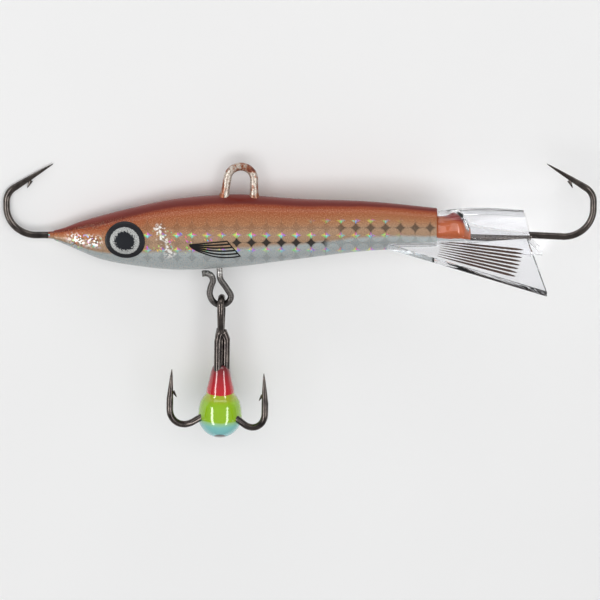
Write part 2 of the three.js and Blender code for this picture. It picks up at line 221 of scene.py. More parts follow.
def jig_matrix():
    """The jig's own frame in millimetres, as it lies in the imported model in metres.

    The inner end of the nose hook's shank is a ring round the jig's own axis, which gives its place.
    """
    turn = Matrix.Rotation(REST_PITCH, 3, "Y") @ Matrix.Rotation(REST_ROLL, 3, "X")
    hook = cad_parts["nose_hook"].data
    upright = np.array([turn.transposed() @ v.co for v in hook.vertices]) / MM
    ring = upright[upright[:, 0] > upright[:, 0].max() - 0.01]
    centre = Vector((ring.min(0) + ring.max(0)) / 2)
    place = turn @ (centre - Vector((-NOSE_SHANK_INNER_END, 0, 0))) * MM
    return Matrix.Translation(place) @ turn.to_4x4() @ Matrix.Scale(MM, 4)


JIG = jig_matrix()
IMAGE_RIGHT = Vector((1, 0, 0))
IMAGE_UP = Vector((0, math.sin(VIEW_ROLL), math.cos(VIEW_ROLL)))
TO_CAMERA = Vector((0, -math.cos(VIEW_ROLL), math.sin(VIEW_ROLL)))


def photo_point(px, py):
    """Where a pixel of the photograph lies along the image's own axes, in mm."""
    return (px - AXIS_PIXEL[0]) * PIXEL, (AXIS_PIXEL[1] - py) * PIXEL


def aimed(location, target, up):
    """Matrix of a camera or light at location that looks at target, all in the jig's frame."""
    back = (location - target).normalized()
    right = up.cross(back).normalized()
    axes = Matrix((right, back.cross(right), back)).transposed().to_4x4()
    turn = JIG.to_3x3().to_4x4() @ axes @ Matrix.Scale(1 / MM, 4)
    return Matrix.Translation(JIG @ location) @ turn


def photo_middle():
    across, up = photo_point(IMAGE_SIZE / 2, IMAGE_SIZE / 2)
    return IMAGE_RIGHT * across + IMAGE_UP * up


def add_camera():
    camera = bpy.data.objects.new("camera", bpy.data.cameras.new("camera"))
    bpy.context.scene.collection.objects.link(camera)
    target = photo_middle()
    camera.matrix_world = aimed(target + TO_CAMERA * VIEW_DISTANCE, target, IMAGE_UP)
    camera.data.sensor_width = SENSOR
    camera.data.lens = SENSOR * VIEW_DISTANCE / (IMAGE_SIZE * PIXEL)
    camera.data.clip_start = 0.01
    camera.data.clip_end = 20
    bpy.context.scene.camera = camera


add_camera()


# Mesh helpers

def mesh_object(name, vertices, faces):
    mesh = bpy.data.meshes.new(name)
    mesh.from_pydata([tuple(v) for v in vertices], [], faces)
    mesh.validate()
    obj = bpy.data.objects.new(name, mesh)
    bpy.context.scene.collection.objects.link(obj)
    return obj


def skin(rings):
    """Vertices and faces of a closed skin over rings of points with the same count."""
    sides = len(rings[0])
    vertices = [p for ring in rings for p in ring]
    faces = []
    for ring in range(len(rings) - 1):
        for side in range(sides):
            a = ring * sides + side
            b = ring * sides + (side + 1) % sides
            faces.append((a, b, b + sides, a + sides))
    last = (len(rings) - 1) * sides
    faces.append(tuple(reversed(range(sides))))
    faces.append(tuple(range(last, last + sides)))
    return vertices, faces


def boolean(obj, other, operation):
    """obj joined with or cut by other, which is used up."""
    modifier = obj.modifiers.new("cut", "BOOLEAN")
    modifier.object = other
    modifier.operation = operation
    modifier.solver = "EXACT"
    modifier.use_self = True
    bpy.context.view_layer.update()
    evaluated = obj.evaluated_get(bpy.context.evaluated_depsgraph_get())
    result = bpy.data.meshes.new_from_object(evaluated)
    old = obj.data
    obj.modifiers.clear()
    obj.data = result
    bpy.data.meshes.remove(old)
    used = other.data
    bpy.data.objects.remove(other)
    bpy.data.meshes.remove(used)
    return obj


def clean(obj, merge=0.0005):
    bm = bmesh.new()
    bm.from_mesh(obj.data)
    bmesh.ops.remove_doubles(bm, verts=bm.verts, dist=merge)
    bmesh.ops.dissolve_degenerate(bm, dist=merge, edges=bm.edges)
    bmesh.ops.recalc_face_normals(bm, faces=bm.faces)
    bm.to_mesh(obj.data)
    bm.free()


def smooth(obj, sharp_degrees=35):
    """Smooth shading with sharp edges where faces meet at more than the given angle."""
    limit = math.radians(sharp_degrees)
    bm = bmesh.new()
    bm.from_mesh(obj.data)
    for face in bm.faces:
        face.smooth = True
    for edge in bm.edges:
        edge.smooth = len(edge.link_faces) != 2 or edge.calc_face_angle() < limit
    bm.to_mesh(obj.data)
    bm.free()


def points_of(obj):
    flat = np.empty(len(obj.data.vertices) * 3)
    obj.data.vertices.foreach_get("co", flat)
    return flat.reshape(-1, 3)


def paint_coordinates(obj, name, values):
    """Keeps a vector for each vertex, for the materials to read."""
    attribute = obj.data.attributes.new(name, "FLOAT_VECTOR", "POINT")
    attribute.data.foreach_set("vector", np.asarray(values, float).ravel())


def piece(obj, material, node):
    """Lays the piece down with the jig, gives it its material and hides the CAD node it stands for."""
    obj.data.transform(JIG)
    obj.data.materials.clear()
    obj.data.materials.append(material)
    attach(obj, "root")
    if node:
        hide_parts(node)
    return obj


# Profiles and sections

def along(profile, column, x):
    """Smooth value between the stations of a profile, with the slopes of its neighbours."""
    last = len(profile) - 1
    x = min(max(x, profile[0][0]), profile[last][0])
    i = next((k for k in range(last) if profile[k + 1][0] >= x), last - 1)

    def slope(k):
        before = profile[max(k - 1, 0)]
        after = profile[min(k + 1, last)]
        return (after[column] - before[column]) / (after[0] - before[0])

    span = profile[i + 1][0] - profile[i][0]
    t = (x - profile[i][0]) / span
    ends = (1 + 2 * t) * (1 - t) ** 2 * profile[i][column] + t * t * (3 - 2 * t) * profile[i + 1][column]
    lean = t * (1 - t) ** 2 * slope(i) - t * t * (1 - t) * slope(i + 1)
    return ends + lean * span


def section(profile, x):
    """Middle height and half height of the oval section at one station."""
    top = along(profile, 1, x)
    bottom = along(profile, 2, x)
    return (top + bottom) / 2, (top - bottom) / 2


def oval_ring(profile, x, sides, ratio, grow=0.0, scale=1.0, place=None):
    middle, half = section(profile, x)
    station = x if place is None else place
    return [
        (
            station,
            (scale * ratio * half + grow) * math.cos(2 * math.pi * side / sides),
            middle + (scale * half + grow) * math.sin(2 * math.pi * side / sides),
        )
        for side in range(sides)
    ]


def oval_loft(profile, steps, sides, ratio, grow=0.0, start=None, end=None):
    first = profile[0][0] if start is None else start
    last = profile[-1][0] if end is None else end
    return [
        oval_ring(profile, first + (last - first) * step / steps, sides, ratio, grow)
        for step in range(steps + 1)
    ]


def arc(centre, radius, start, end, steps):
    """Points on an arc of the XZ plane, without the first one."""
    return [
        (
            centre[0] + radius * math.cos(start + (end - start) * k / steps),
            centre[1] + radius * math.sin(start + (end - start) * k / steps),
        )
        for k in range(1, steps + 1)
    ]


def line(start, end, steps):
    return [
        (start[0] + (end[0] - start[0]) * k / steps, start[1] + (end[1] - start[1]) * k / steps)
        for k in range(1, steps + 1)
    ]


def spline(points, steps):
    """Catmull-Rom curve through all the points."""
    out = [points[0]]
    last = len(points) - 1
    for i in range(last):
        p0, p1, p2, p3 = (points[min(max(i + k, 0), last)] for k in (-1, 0, 1, 2))
        for k in range(1, steps + 1):
            t = k / steps
            out.append(tuple(
                0.5 * (2 * b + (c - a) * t + (2 * a - 5 * b + 4 * c - d) * t * t
                       + (3 * b - a - 3 * c + d) * t ** 3)
                for a, b, c, d in zip(p0, p1, p2, p3)
            ))
    return out


def wire_rings(points, radii, sides=24, width=1.0):
    """Rings of a wire along a path in the XZ plane; width flattens it across the plane."""
    rings = []
    for k, (x, z) in enumerate(points):
        before = points[max(k - 1, 0)]
        after = points[min(k + 1, len(points) - 1)]
        heading = Vector((after[0] - before[0], 0, after[1] - before[1])).normalized()
        inward = heading.cross(Vector((0, 1, 0)))
        ring = []
        for side in range(sides):
            angle = 2 * math.pi * side / sides
            offset = inward * (radii[k] * math.sin(angle))
            offset.y += width * radii[k] * math.cos(angle)
            ring.append((x + offset.x, offset.y, z + offset.z))
        rings.append(ring)
    return rings


def wire(name, points, radii, sides=24, width=1.0):
    obj = mesh_object(name, *skin(wire_rings(points, radii, sides, width)))
    clean(obj)
    return obj


def spear_radii(points, spear_length, radius):
    """Full wire as far as the spear, then narrowing to the point, fuller near the bend."""
    tip = points[-1]
    return [
        POINT_RADIUS + (radius - POINT_RADIUS)
        * min(1.0, math.dist(p, tip) / spear_length) ** SPEAR_FULLNESS
        for p in points
    ]


def barb(root, tip, radius):
    """A flat thorn from its root inside the spear to its own tip."""
    points = [root] + line(root, tip, 6)
    radii = [POINT_RADIUS + (radius - POINT_RADIUS) * (1 - k / 6) ** 0.8 for k in range(7)]
    return wire("barb", points, radii, 12, 0.75)


# Body

def body_rings():
    """Paint collar on the hook's shank, nose, body, shoulder and the stub inside the sleeve."""
    rings = []
    for step in range(5):
        share = step / 4
        radius = HOOK_WIRE_RADIUS + 0.015 + (0.5 - HOOK_WIRE_RADIUS) * share ** 2
        rings.append([
            (
                -32.0 - COLLAR_LENGTH * (1 - share),
                radius * math.cos(2 * math.pi * side / BODY_SIDES),
                radius * math.sin(2 * math.pi * side / BODY_SIDES),
            )
            for side in range(BODY_SIDES)
        ])
    for step in range(1, 6):
        turn = math.pi / 2 * step / 5
        scale = 0.82 + 0.18 * math.sin(turn)
        place = -32.0 + NOSE_ROUNDING * (1 - math.cos(turn))
        rings.append(oval_ring(BODY_PROFILE, place, BODY_SIDES, BODY_RATIO, 0.0, scale))
    first = -32.0 + NOSE_ROUNDING
    last = BODY_PROFILE[-1][0]
    for step in range(1, BODY_STATIONS + 1):
        x = first + (last - first) * step / BODY_STATIONS
        rings.append(oval_ring(BODY_PROFILE, x, BODY_SIDES, BODY_RATIO))
    for step in range(1, 6):
        turn = math.pi / 2 * step / 5
        scale = SHOULDER_SCALE + (1 - SHOULDER_SCALE) * math.cos(turn)
        place = last + SHOULDER_LENGTH * math.sin(turn)
        rings.append(oval_ring(BODY_PROFILE, last, BODY_SIDES, BODY_RATIO, 0.0, scale, place))
    shoulder = last + SHOULDER_LENGTH
    rings.extend(oval_loft(STUB_PROFILE, 40, BODY_SIDES, STUB_RATIO, 0.0, shoulder))
    end = STUB_PROFILE[-1][0]
    for scale, place in ((0.8, end + 0.06), (0.45, end + 0.1)):
        rings.append(oval_ring(STUB_PROFILE, end, BODY_SIDES, STUB_RATIO, 0.0, scale, place))
    return rings


def foil_coordinates(points):
    """Along the body, across the foil as the camera sees it, and the turn round the section."""
    values = []
    for x, y, z in points:
        middle, half = section(BODY_PROFILE, x)
        turn = math.degrees(math.atan2((z - middle) / half, abs(y) / (BODY_RATIO * half)))
        values.append((x, z * math.cos(VIEW_ROLL) - abs(y) * math.sin(VIEW_ROLL), turn))
    return values


def paint_web(points):
    """A low ridge of paint on the back between the two feet of the line tie."""
    start, end = TIE_LEFT_FOOT[0], TIE_RIGHT_FOOT[0]
    middle, reach = (start + end) / 2, (end - start) / 2 + 0.9
    on_top = points[:, 2] > 3.0
    lengthwise = np.clip(1 - ((points[:, 0] - middle) / reach) ** 4, 0, 1)
    across = np.clip(1 - (points[:, 1] / 1.3) ** 2, 0, 1) ** 2
    points[:, 2] += np.where(on_top, 0.13 * lengthwise * across, 0.0)


def painted_body():
    obj = mesh_object("painted_body", *skin(body_rings()))
    points = points_of(obj)
    paint_coordinates(obj, "foil", foil_coordinates(points))
    paint_web(points)
    obj.data.vertices.foreach_set("co", points.ravel())
    smooth(obj, 40)
    return obj


# Hooks and wires

def hook_points(inner_end, drop):
    bend_x = HOOK_REACH - HOOK_BEND_RADIUS
    bend_z = HOOK_BEND_RADIUS - drop
    upper = (HOOK_REACH - HOOK_UPPER_BEND_RADIUS, HOOK_RISE_TOP)
    points = [(inner_end, 0.0)]
    points += line(points[-1], (TAIL_SHANK_EXIT, 0.0), 12)
    points += line(points[-1], (bend_x, -drop), 8)
    points += arc((bend_x, bend_z), HOOK_BEND_RADIUS, -math.pi / 2, 0, 26)
    points += line(points[-1], (HOOK_REACH, HOOK_RISE_TOP), 3)
    points += arc(upper, HOOK_UPPER_BEND_RADIUS, 0, HOOK_UPPER_BEND_TURN, 14)
    bend_end = points[-1]
    points += line(bend_end, HOOK_TIP, 22)
    return points, math.dist(bend_end, HOOK_TIP)


def single_hook(name, inner_end, drop, turned):
    points, spear = hook_points(inner_end, drop)
    radii = spear_radii(points, spear, HOOK_WIRE_RADIUS)
    obj = wire(name, points, radii)
    boolean(obj, barb(HOOK_BARB_ROOT, HOOK_BARB_TIP, HOOK_WIRE_RADIUS * 0.6), "UNION")
    clean(obj)
    if turned:
        obj.data.transform(Matrix.Rotation(math.pi, 4, "Z"))
    smooth(obj, 50)
    return obj


def bent_wire():
    points = spline(BELLY_LOOP, 8)
    points += line(points[-1], TIE_LEFT_FOOT, 30)
    arc_start = (TIE_ARC_CENTRE[0] - TIE_ARC_RADIUS, TIE_ARC_CENTRE[1])
    points += line(points[-1], arc_start, 8)
    points += arc(TIE_ARC_CENTRE, TIE_ARC_RADIUS, math.pi, 0, 36)
    points += line(points[-1], TIE_RIGHT_FOOT, 8)
    points += line(points[-1], TIE_RIGHT_END, 8)
    radii = [tie_radius(x, z) for x, z in points]
    obj = wire("bent_wire", points, radii, 28)
    paint_coordinates(obj, "jig", points_of(obj))
    smooth(obj, 50)
    return obj


def tie_radius(x, z):
    """Bare wire below; above, a coat of paint that flares into the back at each foot."""
    if z < 0:
        return BELLY_WIRE_RADIUS
    middle, half = section(BODY_PROFILE, x)
    above = z - (middle + half)
    flare = 0.2 * math.exp(-max(above, 0.0) / 0.3)
    return PAINTED_WIRE_RADIUS + flare


def treble_matrix():
    swing = Matrix.Rotation(TREBLE_SWING_RIGHT, 4, "X") @ Matrix.Rotation(TREBLE_SWING_FORWARD, 4, "Y")
    return Matrix.Translation(TREBLE_TOP) @ swing @ Matrix.Rotation(TREBLE_TWIST, 4, "Z")


def branch_points():
    """One hook of the treble in its own XZ plane: turn outwards, round bend, spear."""
    bend_r, bend_down = TREBLE_BEND_CENTRE
    bend_start = -math.pi / 2 - TREBLE_BEND_SLOPE
    start_r = bend_r + TREBLE_BEND_RADIUS * math.cos(bend_start)
    start_z = -bend_down + TREBLE_BEND_RADIUS * math.sin(bend_start)
    turn = TREBLE_BRANCH_BEND_RADIUS
    turn_end_r = TREBLE_BRANCH_OFFSET + turn * (1 - math.sin(TREBLE_BEND_SLOPE))
    turn_end_z = start_z + (start_r - turn_end_r) * math.tan(TREBLE_BEND_SLOPE)
    turn_z = turn_end_z + turn * math.cos(TREBLE_BEND_SLOPE)
    points = [(TREBLE_BRANCH_OFFSET, turn_z + 0.4), (TREBLE_BRANCH_OFFSET, turn_z)]
    turn_centre = (TREBLE_BRANCH_OFFSET + turn, turn_z)
    points += arc(turn_centre, turn, math.pi, 1.5 * math.pi - TREBLE_BEND_SLOPE, 8)
    points += line(points[-1], (start_r, start_z), 4)
    points += arc((bend_r, -bend_down), TREBLE_BEND_RADIUS, bend_start, 0, 30)
    points += line(points[-1], (bend_r + TREBLE_BEND_RADIUS, -TREBLE_SPEAR_START), 4)
    points += line(points[-1], (TREBLE_TIP[0], -TREBLE_TIP[1]), 14)
    return points


def treble():
    core_top = TREBLE_NECK_TOPS[0] + TREBLE_NECK_LENGTH / 2
    rising = [(side, -down) for side, down in TREBLE_EYE]
    falling = [(-side, z) for side, z in reversed(rising[:-1])]
    eye = spline(rising + falling, 7)
    obj = wire("treble", eye, [TREBLE_WIRE_RADIUS] * len(eye), 20)
    core = [(0.0, -core_top), (0.0, -TREBLE_BEND_CENTRE[1])]
    boolean(obj, wire("core", core, [TREBLE_CORE_RADIUS] * 2, 20), "UNION")
    for turn, neck_top in zip(TURNS, TREBLE_NECK_TOPS):
        shank = [(TREBLE_NECK_OFFSET, -neck_top)]
        shank += line(shank[-1], (TREBLE_SHANK_OFFSET, -neck_top - TREBLE_NECK_LENGTH), 4)
        shank += line(shank[-1], (TREBLE_SHANK_OFFSET, -TREBLE_SHANK_END), 12)
        rod = wire("shank", shank, [TREBLE_SHANK_RADIUS] * len(shank), 20)
        rod.data.transform(Matrix.Rotation(math.radians(turn + TREBLE_SHANK_TWIST), 4, "Z"))
        boolean(obj, rod, "UNION")
        points = branch_points()
        spear = TREBLE_SPEAR_START - TREBLE_TIP[1]
        branch = wire("branch", points, spear_radii(points, spear, TREBLE_WIRE_RADIUS), 20)
        root = (TREBLE_BARB_ROOT[0], -TREBLE_BARB_ROOT[1])
        tip = (TREBLE_BARB_TIP[0], -TREBLE_BARB_TIP[1])
        boolean(branch, barb(root, tip, TREBLE_WIRE_RADIUS * 0.5), "UNION")
        branch.data.transform(Matrix.Rotation(math.radians(turn), 4, "Z"))
        boolean(obj, branch, "UNION")
    clean(obj)
    smooth(obj, 50)
    obj.data.transform(treble_matrix())
    return obj


def bead_profile():
    profile = [(0.02, BEAD_TOP)] + spline(BEAD_CONE, 6)
    steps = 40
    for step in range(1, steps):
        angle = BEAD_BALL_START - (BEAD_BALL_START + math.pi / 2) * step / steps
        profile.append((
            BEAD_BALL_RADIUS * math.cos(angle),
            BEAD_BALL_CENTRE - BEAD_BALL_RADIUS * math.sin(angle),
        ))
    profile.append((0.02, BEAD_BALL_CENTRE + BEAD_BALL_RADIUS))
    return profile


def bead_drop():
    sides = 96
    rings = [
        [
            (
                radius * math.cos(2 * math.pi * side / sides),
                -radius * math.sin(2 * math.pi * side / sides),
                -down,
            )
            for side in range(sides)
        ]
        for radius, down in bead_profile()
    ]
    obj = mesh_object("bead_drop", *skin(rings))
    clean(obj)
    paint_coordinates(obj, "drop", points_of(obj))
    smooth(obj, 60)
    obj.data.transform(treble_matrix())
    return obj


# Clear tail fin

def wing_plate(side):
    """Flat plate in a plane through the shank, with its edges a little rounded."""
    outward = Vector((0, side * math.sin(WING_HALF_ANGLE), -math.cos(WING_HALF_ANGLE)))
    facing = Vector((1, 0, 0)).cross(outward)
    half = facing * WING_THICKNESS / 2
    corners = [Vector((x, 0, 0)) + outward * d for x, d in WING_OUTLINE]
    count = len(corners)
    vertices = [c - half for c in corners] + [c + half for c in corners]
    faces = [tuple(reversed(range(count))), tuple(range(count, 2 * count))]
    for k in range(count):
        after = (k + 1) % count
        faces.append((k, after, after + count, k + count))
    obj = mesh_object("wing", vertices, faces)
    bm = bmesh.new()
    bm.from_mesh(obj.data)
    bmesh.ops.recalc_face_normals(bm, faces=bm.faces)
    bmesh.ops.bevel(bm, geom=bm.edges[:], offset=WING_ROUNDING, segments=3, affect="EDGES", profile=0.5)
    bm.to_mesh(obj.data)
    bm.free()
    return obj


def end_trim():
    """Block that trims the sleeve's rear end on a slant."""
    size = 12
    corners = [
        Vector((x, y, z)) for x in (0, size) for y in (-size / 2, size / 2) for z in (-size / 2, size / 2)
    ]
    faces = [(0, 1, 3, 2), (4, 6, 7, 5), (0, 4, 5, 1), (2, 3, 7, 6), (0, 2, 6, 4), (1, 5, 7, 3)]
    obj = mesh_object("trim", corners, faces)
    turn = Matrix.Rotation(-SLEEVE_END_SLANT, 4, "Y")
    obj.data.transform(Matrix.Translation((SLEEVE_END_TOP, 0, SLEEVE_PROFILE[-1][1])) @ turn)
    return obj


def clear_fin():
    sides = 72
    obj = mesh_object("clear_fin", *skin(oval_loft(SLEEVE_PROFILE, 40, sides, SLEEVE_RATIO)))
    boolean(obj, end_trim(), "DIFFERENCE")
    boolean(obj, wing_plate(-1), "UNION")
    boolean(obj, wing_plate(1), "UNION")
    taper = mesh_object("taper", *skin(oval_loft(SOCKET_TAPER, 20, sides, STUB_RATIO)))
    boolean(obj, taper, "DIFFERENCE")
    stub = mesh_object("stub", *skin(oval_loft(STUB_PROFILE, 40, sides, STUB_RATIO, SEAT_GAP)))
    boolean(obj, stub, "DIFFERENCE")
    points, _ = hook_points(TAIL_SHANK_INNER_END, TAIL_SHANK_DROP)
    radii = [HOOK_WIRE_RADIUS + SEAT_GAP] * len(points)
    boolean(obj, wire("shank_hole", points[:22], radii[:22], sides), "DIFFERENCE")
    shell = oval_loft(BODY_PROFILE, 60, sides, BODY_RATIO, 2 * SEAT_GAP, 5.0)
    shell.append(oval_ring(BODY_PROFILE, 17.6, sides, BODY_RATIO, 2 * SEAT_GAP, SHOULDER_SCALE, 17.88))
    boolean(obj, mesh_object("shell", *skin(shell)), "DIFFERENCE")
    clean(obj)
    smooth(obj, 25)
    return obj


def fin_rays():
    """Slender ink strokes fanned over the outer face of the near wing, like the rays of a tail."""
    outward = Vector((0, -math.sin(WING_HALF_ANGLE), -math.cos(WING_HALF_ANGLE)))
    facing = Vector((0, -math.cos(WING_HALF_ANGLE), math.sin(WING_HALF_ANGLE)))
    lift = WING_THICKNESS / 2 + 0.004
    film = 0.016
    vertices = []
    faces = []
    for k in range(RAY_COUNT):
        angle = RAY_FIRST_ANGLE + (RAY_LAST_ANGLE - RAY_FIRST_ANGLE) * k / (RAY_COUNT - 1)
        heading = Vector((math.cos(angle), math.sin(angle)))
        normal = Vector((-heading.y, heading.x))
        edges = []
        for distance, half_width in RAY_WIDTHS:
            middle = Vector(RAY_APEX) + heading * distance
            edges.append((middle + normal * half_width, middle - normal * half_width))
        outline = [left for left, _ in edges] + [right for _, right in reversed(edges)]
        base = len(vertices)
        count = len(outline)
        for height in (lift, lift + film):
            for p in outline:
                vertices.append(Vector((p.x, 0, 0)) + outward * p.y + facing * height)
        faces.append(tuple(base + i for i in reversed(range(count))))
        faces.append(tuple(base + count + i for i in range(count)))
        for i in range(count):
            after = (i + 1) % count
            faces.append((base + i, base + after, base + count + after, base + count + i))
    obj = mesh_object("fin_rays", vertices, faces)
    clean(obj, 0.0001)
    return obj


# Eyes

def head_point(origin, direction):
    """Where a line from inside the head leaves the head's surface."""
    low, high = 0.0, 6.0
    for _ in range(40):
        t = (low + high) / 2
        p = origin + direction * t
        middle, half = section(BODY_PROFILE, p.x)
        inside = (p.y / (BODY_RATIO * half)) ** 2 + ((p.z - middle) / half) ** 2 < 1
        low, high = (t, high) if inside else (low, t)
    return origin + direction * low


def eye_disc(name, side):
    """A domed round sticker: rings of points on the head's surface, lifted off it."""
    facing = Vector((0, side, 0))
    turn = Matrix.Rotation(side * EYE_CANT, 3, "X") @ Matrix.Rotation(side * EYE_TOE_IN, 3, "Z")
    facing = turn @ facing
    length = (turn @ Vector((1, 0, 0))).normalized()
    height = (turn @ Vector((0, 0, 1))).normalized()
    centre = Vector((EYE_CENTRE[0], side * EYE_CENTRE[1], EYE_CENTRE[2])) - facing * 1.5
    sides = 96
    shares = [k / 24 for k in range(1, 24)] + [0.985, 1.0]
    vertices = []
    disc = []

    def add(share, angle, lift):
        p = centre + length * (EYE_HALF_LENGTH * share * math.cos(angle))
        p += height * (EYE_HALF_HEIGHT * share * math.sin(angle))
        vertices.append(head_point(p, facing) + facing * lift)
        disc.append((share * math.cos(angle), share * math.sin(angle), lift))

    add(0.0, 0.0, EYE_LIFT + EYE_THICKNESS)
    for share in shares:
        edge = max(0.0, (share - 0.95) / 0.05)
        dome = EYE_LIFT + EYE_THICKNESS * math.sqrt(max(0.0, 1 - 0.75 * edge ** 2))
        for k in range(sides):
            add(share, 2 * math.pi * k / sides, dome)
    for k in range(sides):
        add(1.0, 2 * math.pi * k / sides, -0.05)
    faces = []
    for k in range(sides):
        faces.append((0, 1 + k, 1 + (k + 1) % sides))
    for ring in range(len(shares)):
        for k in range(sides):
            a = 1 + ring * sides + k
            b = 1 + ring * sides + (k + 1) % sides
            faces.append((a, a + sides, b + sides, b))
    last = 1 + len(shares) * sides
    faces.append(tuple(last + k for k in range(sides)))
    obj = mesh_object(name, vertices, faces)
    paint_coordinates(obj, "disc", disc)
    bm = bmesh.new()
    bm.from_mesh(obj.data)
    bmesh.ops.recalc_face_normals(bm, faces=bm.faces)
    bm.to_mesh(obj.data)
    bm.free()
    smooth(obj, 50)
    return obj


# Material helpers

def srgb(red, green, blue):
    """A colour as seen on screen, 0 to 255, in the linear values that shaders use."""
    out = []
    for value in (red, green, blue):
        c = value / 255
        out.append(c / 12.92 if c <= 0.04045 else ((c + 0.055) / 1.055) ** 2.4)
    return (*out, 1.0)


class Field:
    """A value in a node tree that can be worked on with plain arithmetic."""

    def __init__(self, tree, socket):
        self.tree = tree
        self.socket = socket

    def math(self, operation, *others, clamp=False):
        node = self.tree.nodes.new("ShaderNodeMath")
        node.operation = operation
        node.use_clamp = clamp
        for slot, value in enumerate((self, *others)):
            plug(self.tree, value, node.inputs[slot])
        return Field(self.tree, node.outputs[0])

    def __add__(self, other):
        return self.math("ADD", other)

    def __sub__(self, other):
        return self.math("SUBTRACT", other)

    def __mul__(self, other):
        return self.math("MULTIPLY", other)

    def __truediv__(self, other):
        return self.math("DIVIDE", other)

    def __neg__(self):
        return self * -1.0

    def __abs__(self):
        return self.math("ABSOLUTE")

    __radd__ = __add__
    __rmul__ = __mul__

    def __rsub__(self, other):
        return -self + other

    def over(self, low, high):
        """0 below low, 1 above high, smooth between; falls instead when high is the smaller."""
        node = self.tree.nodes.new("ShaderNodeMapRange")
        node.interpolation_type = "SMOOTHSTEP"
        falling = high < low
        plug(self.tree, self, node.inputs["Value"])
        node.inputs["From Min"].default_value = high if falling else low
        node.inputs["From Max"].default_value = low if falling else high
        node.inputs["To Min"].default_value = 1.0 if falling else 0.0
        node.inputs["To Max"].default_value = 0.0 if falling else 1.0
        return Field(self.tree, node.outputs["Result"])

    def least(self, other):
        return self.math("MINIMUM", other)

    def most(self, other):
        return self.math("MAXIMUM", other)


def plug(tree, value, socket):
    if isinstance(value, Field):
        tree.links.new(value.socket, socket)
    else:
        socket.default_value = value


def both(*fields):
    """Product of several masks."""
    product = fields[0]
    for other in fields[1:]:
        product = product * other
    return product


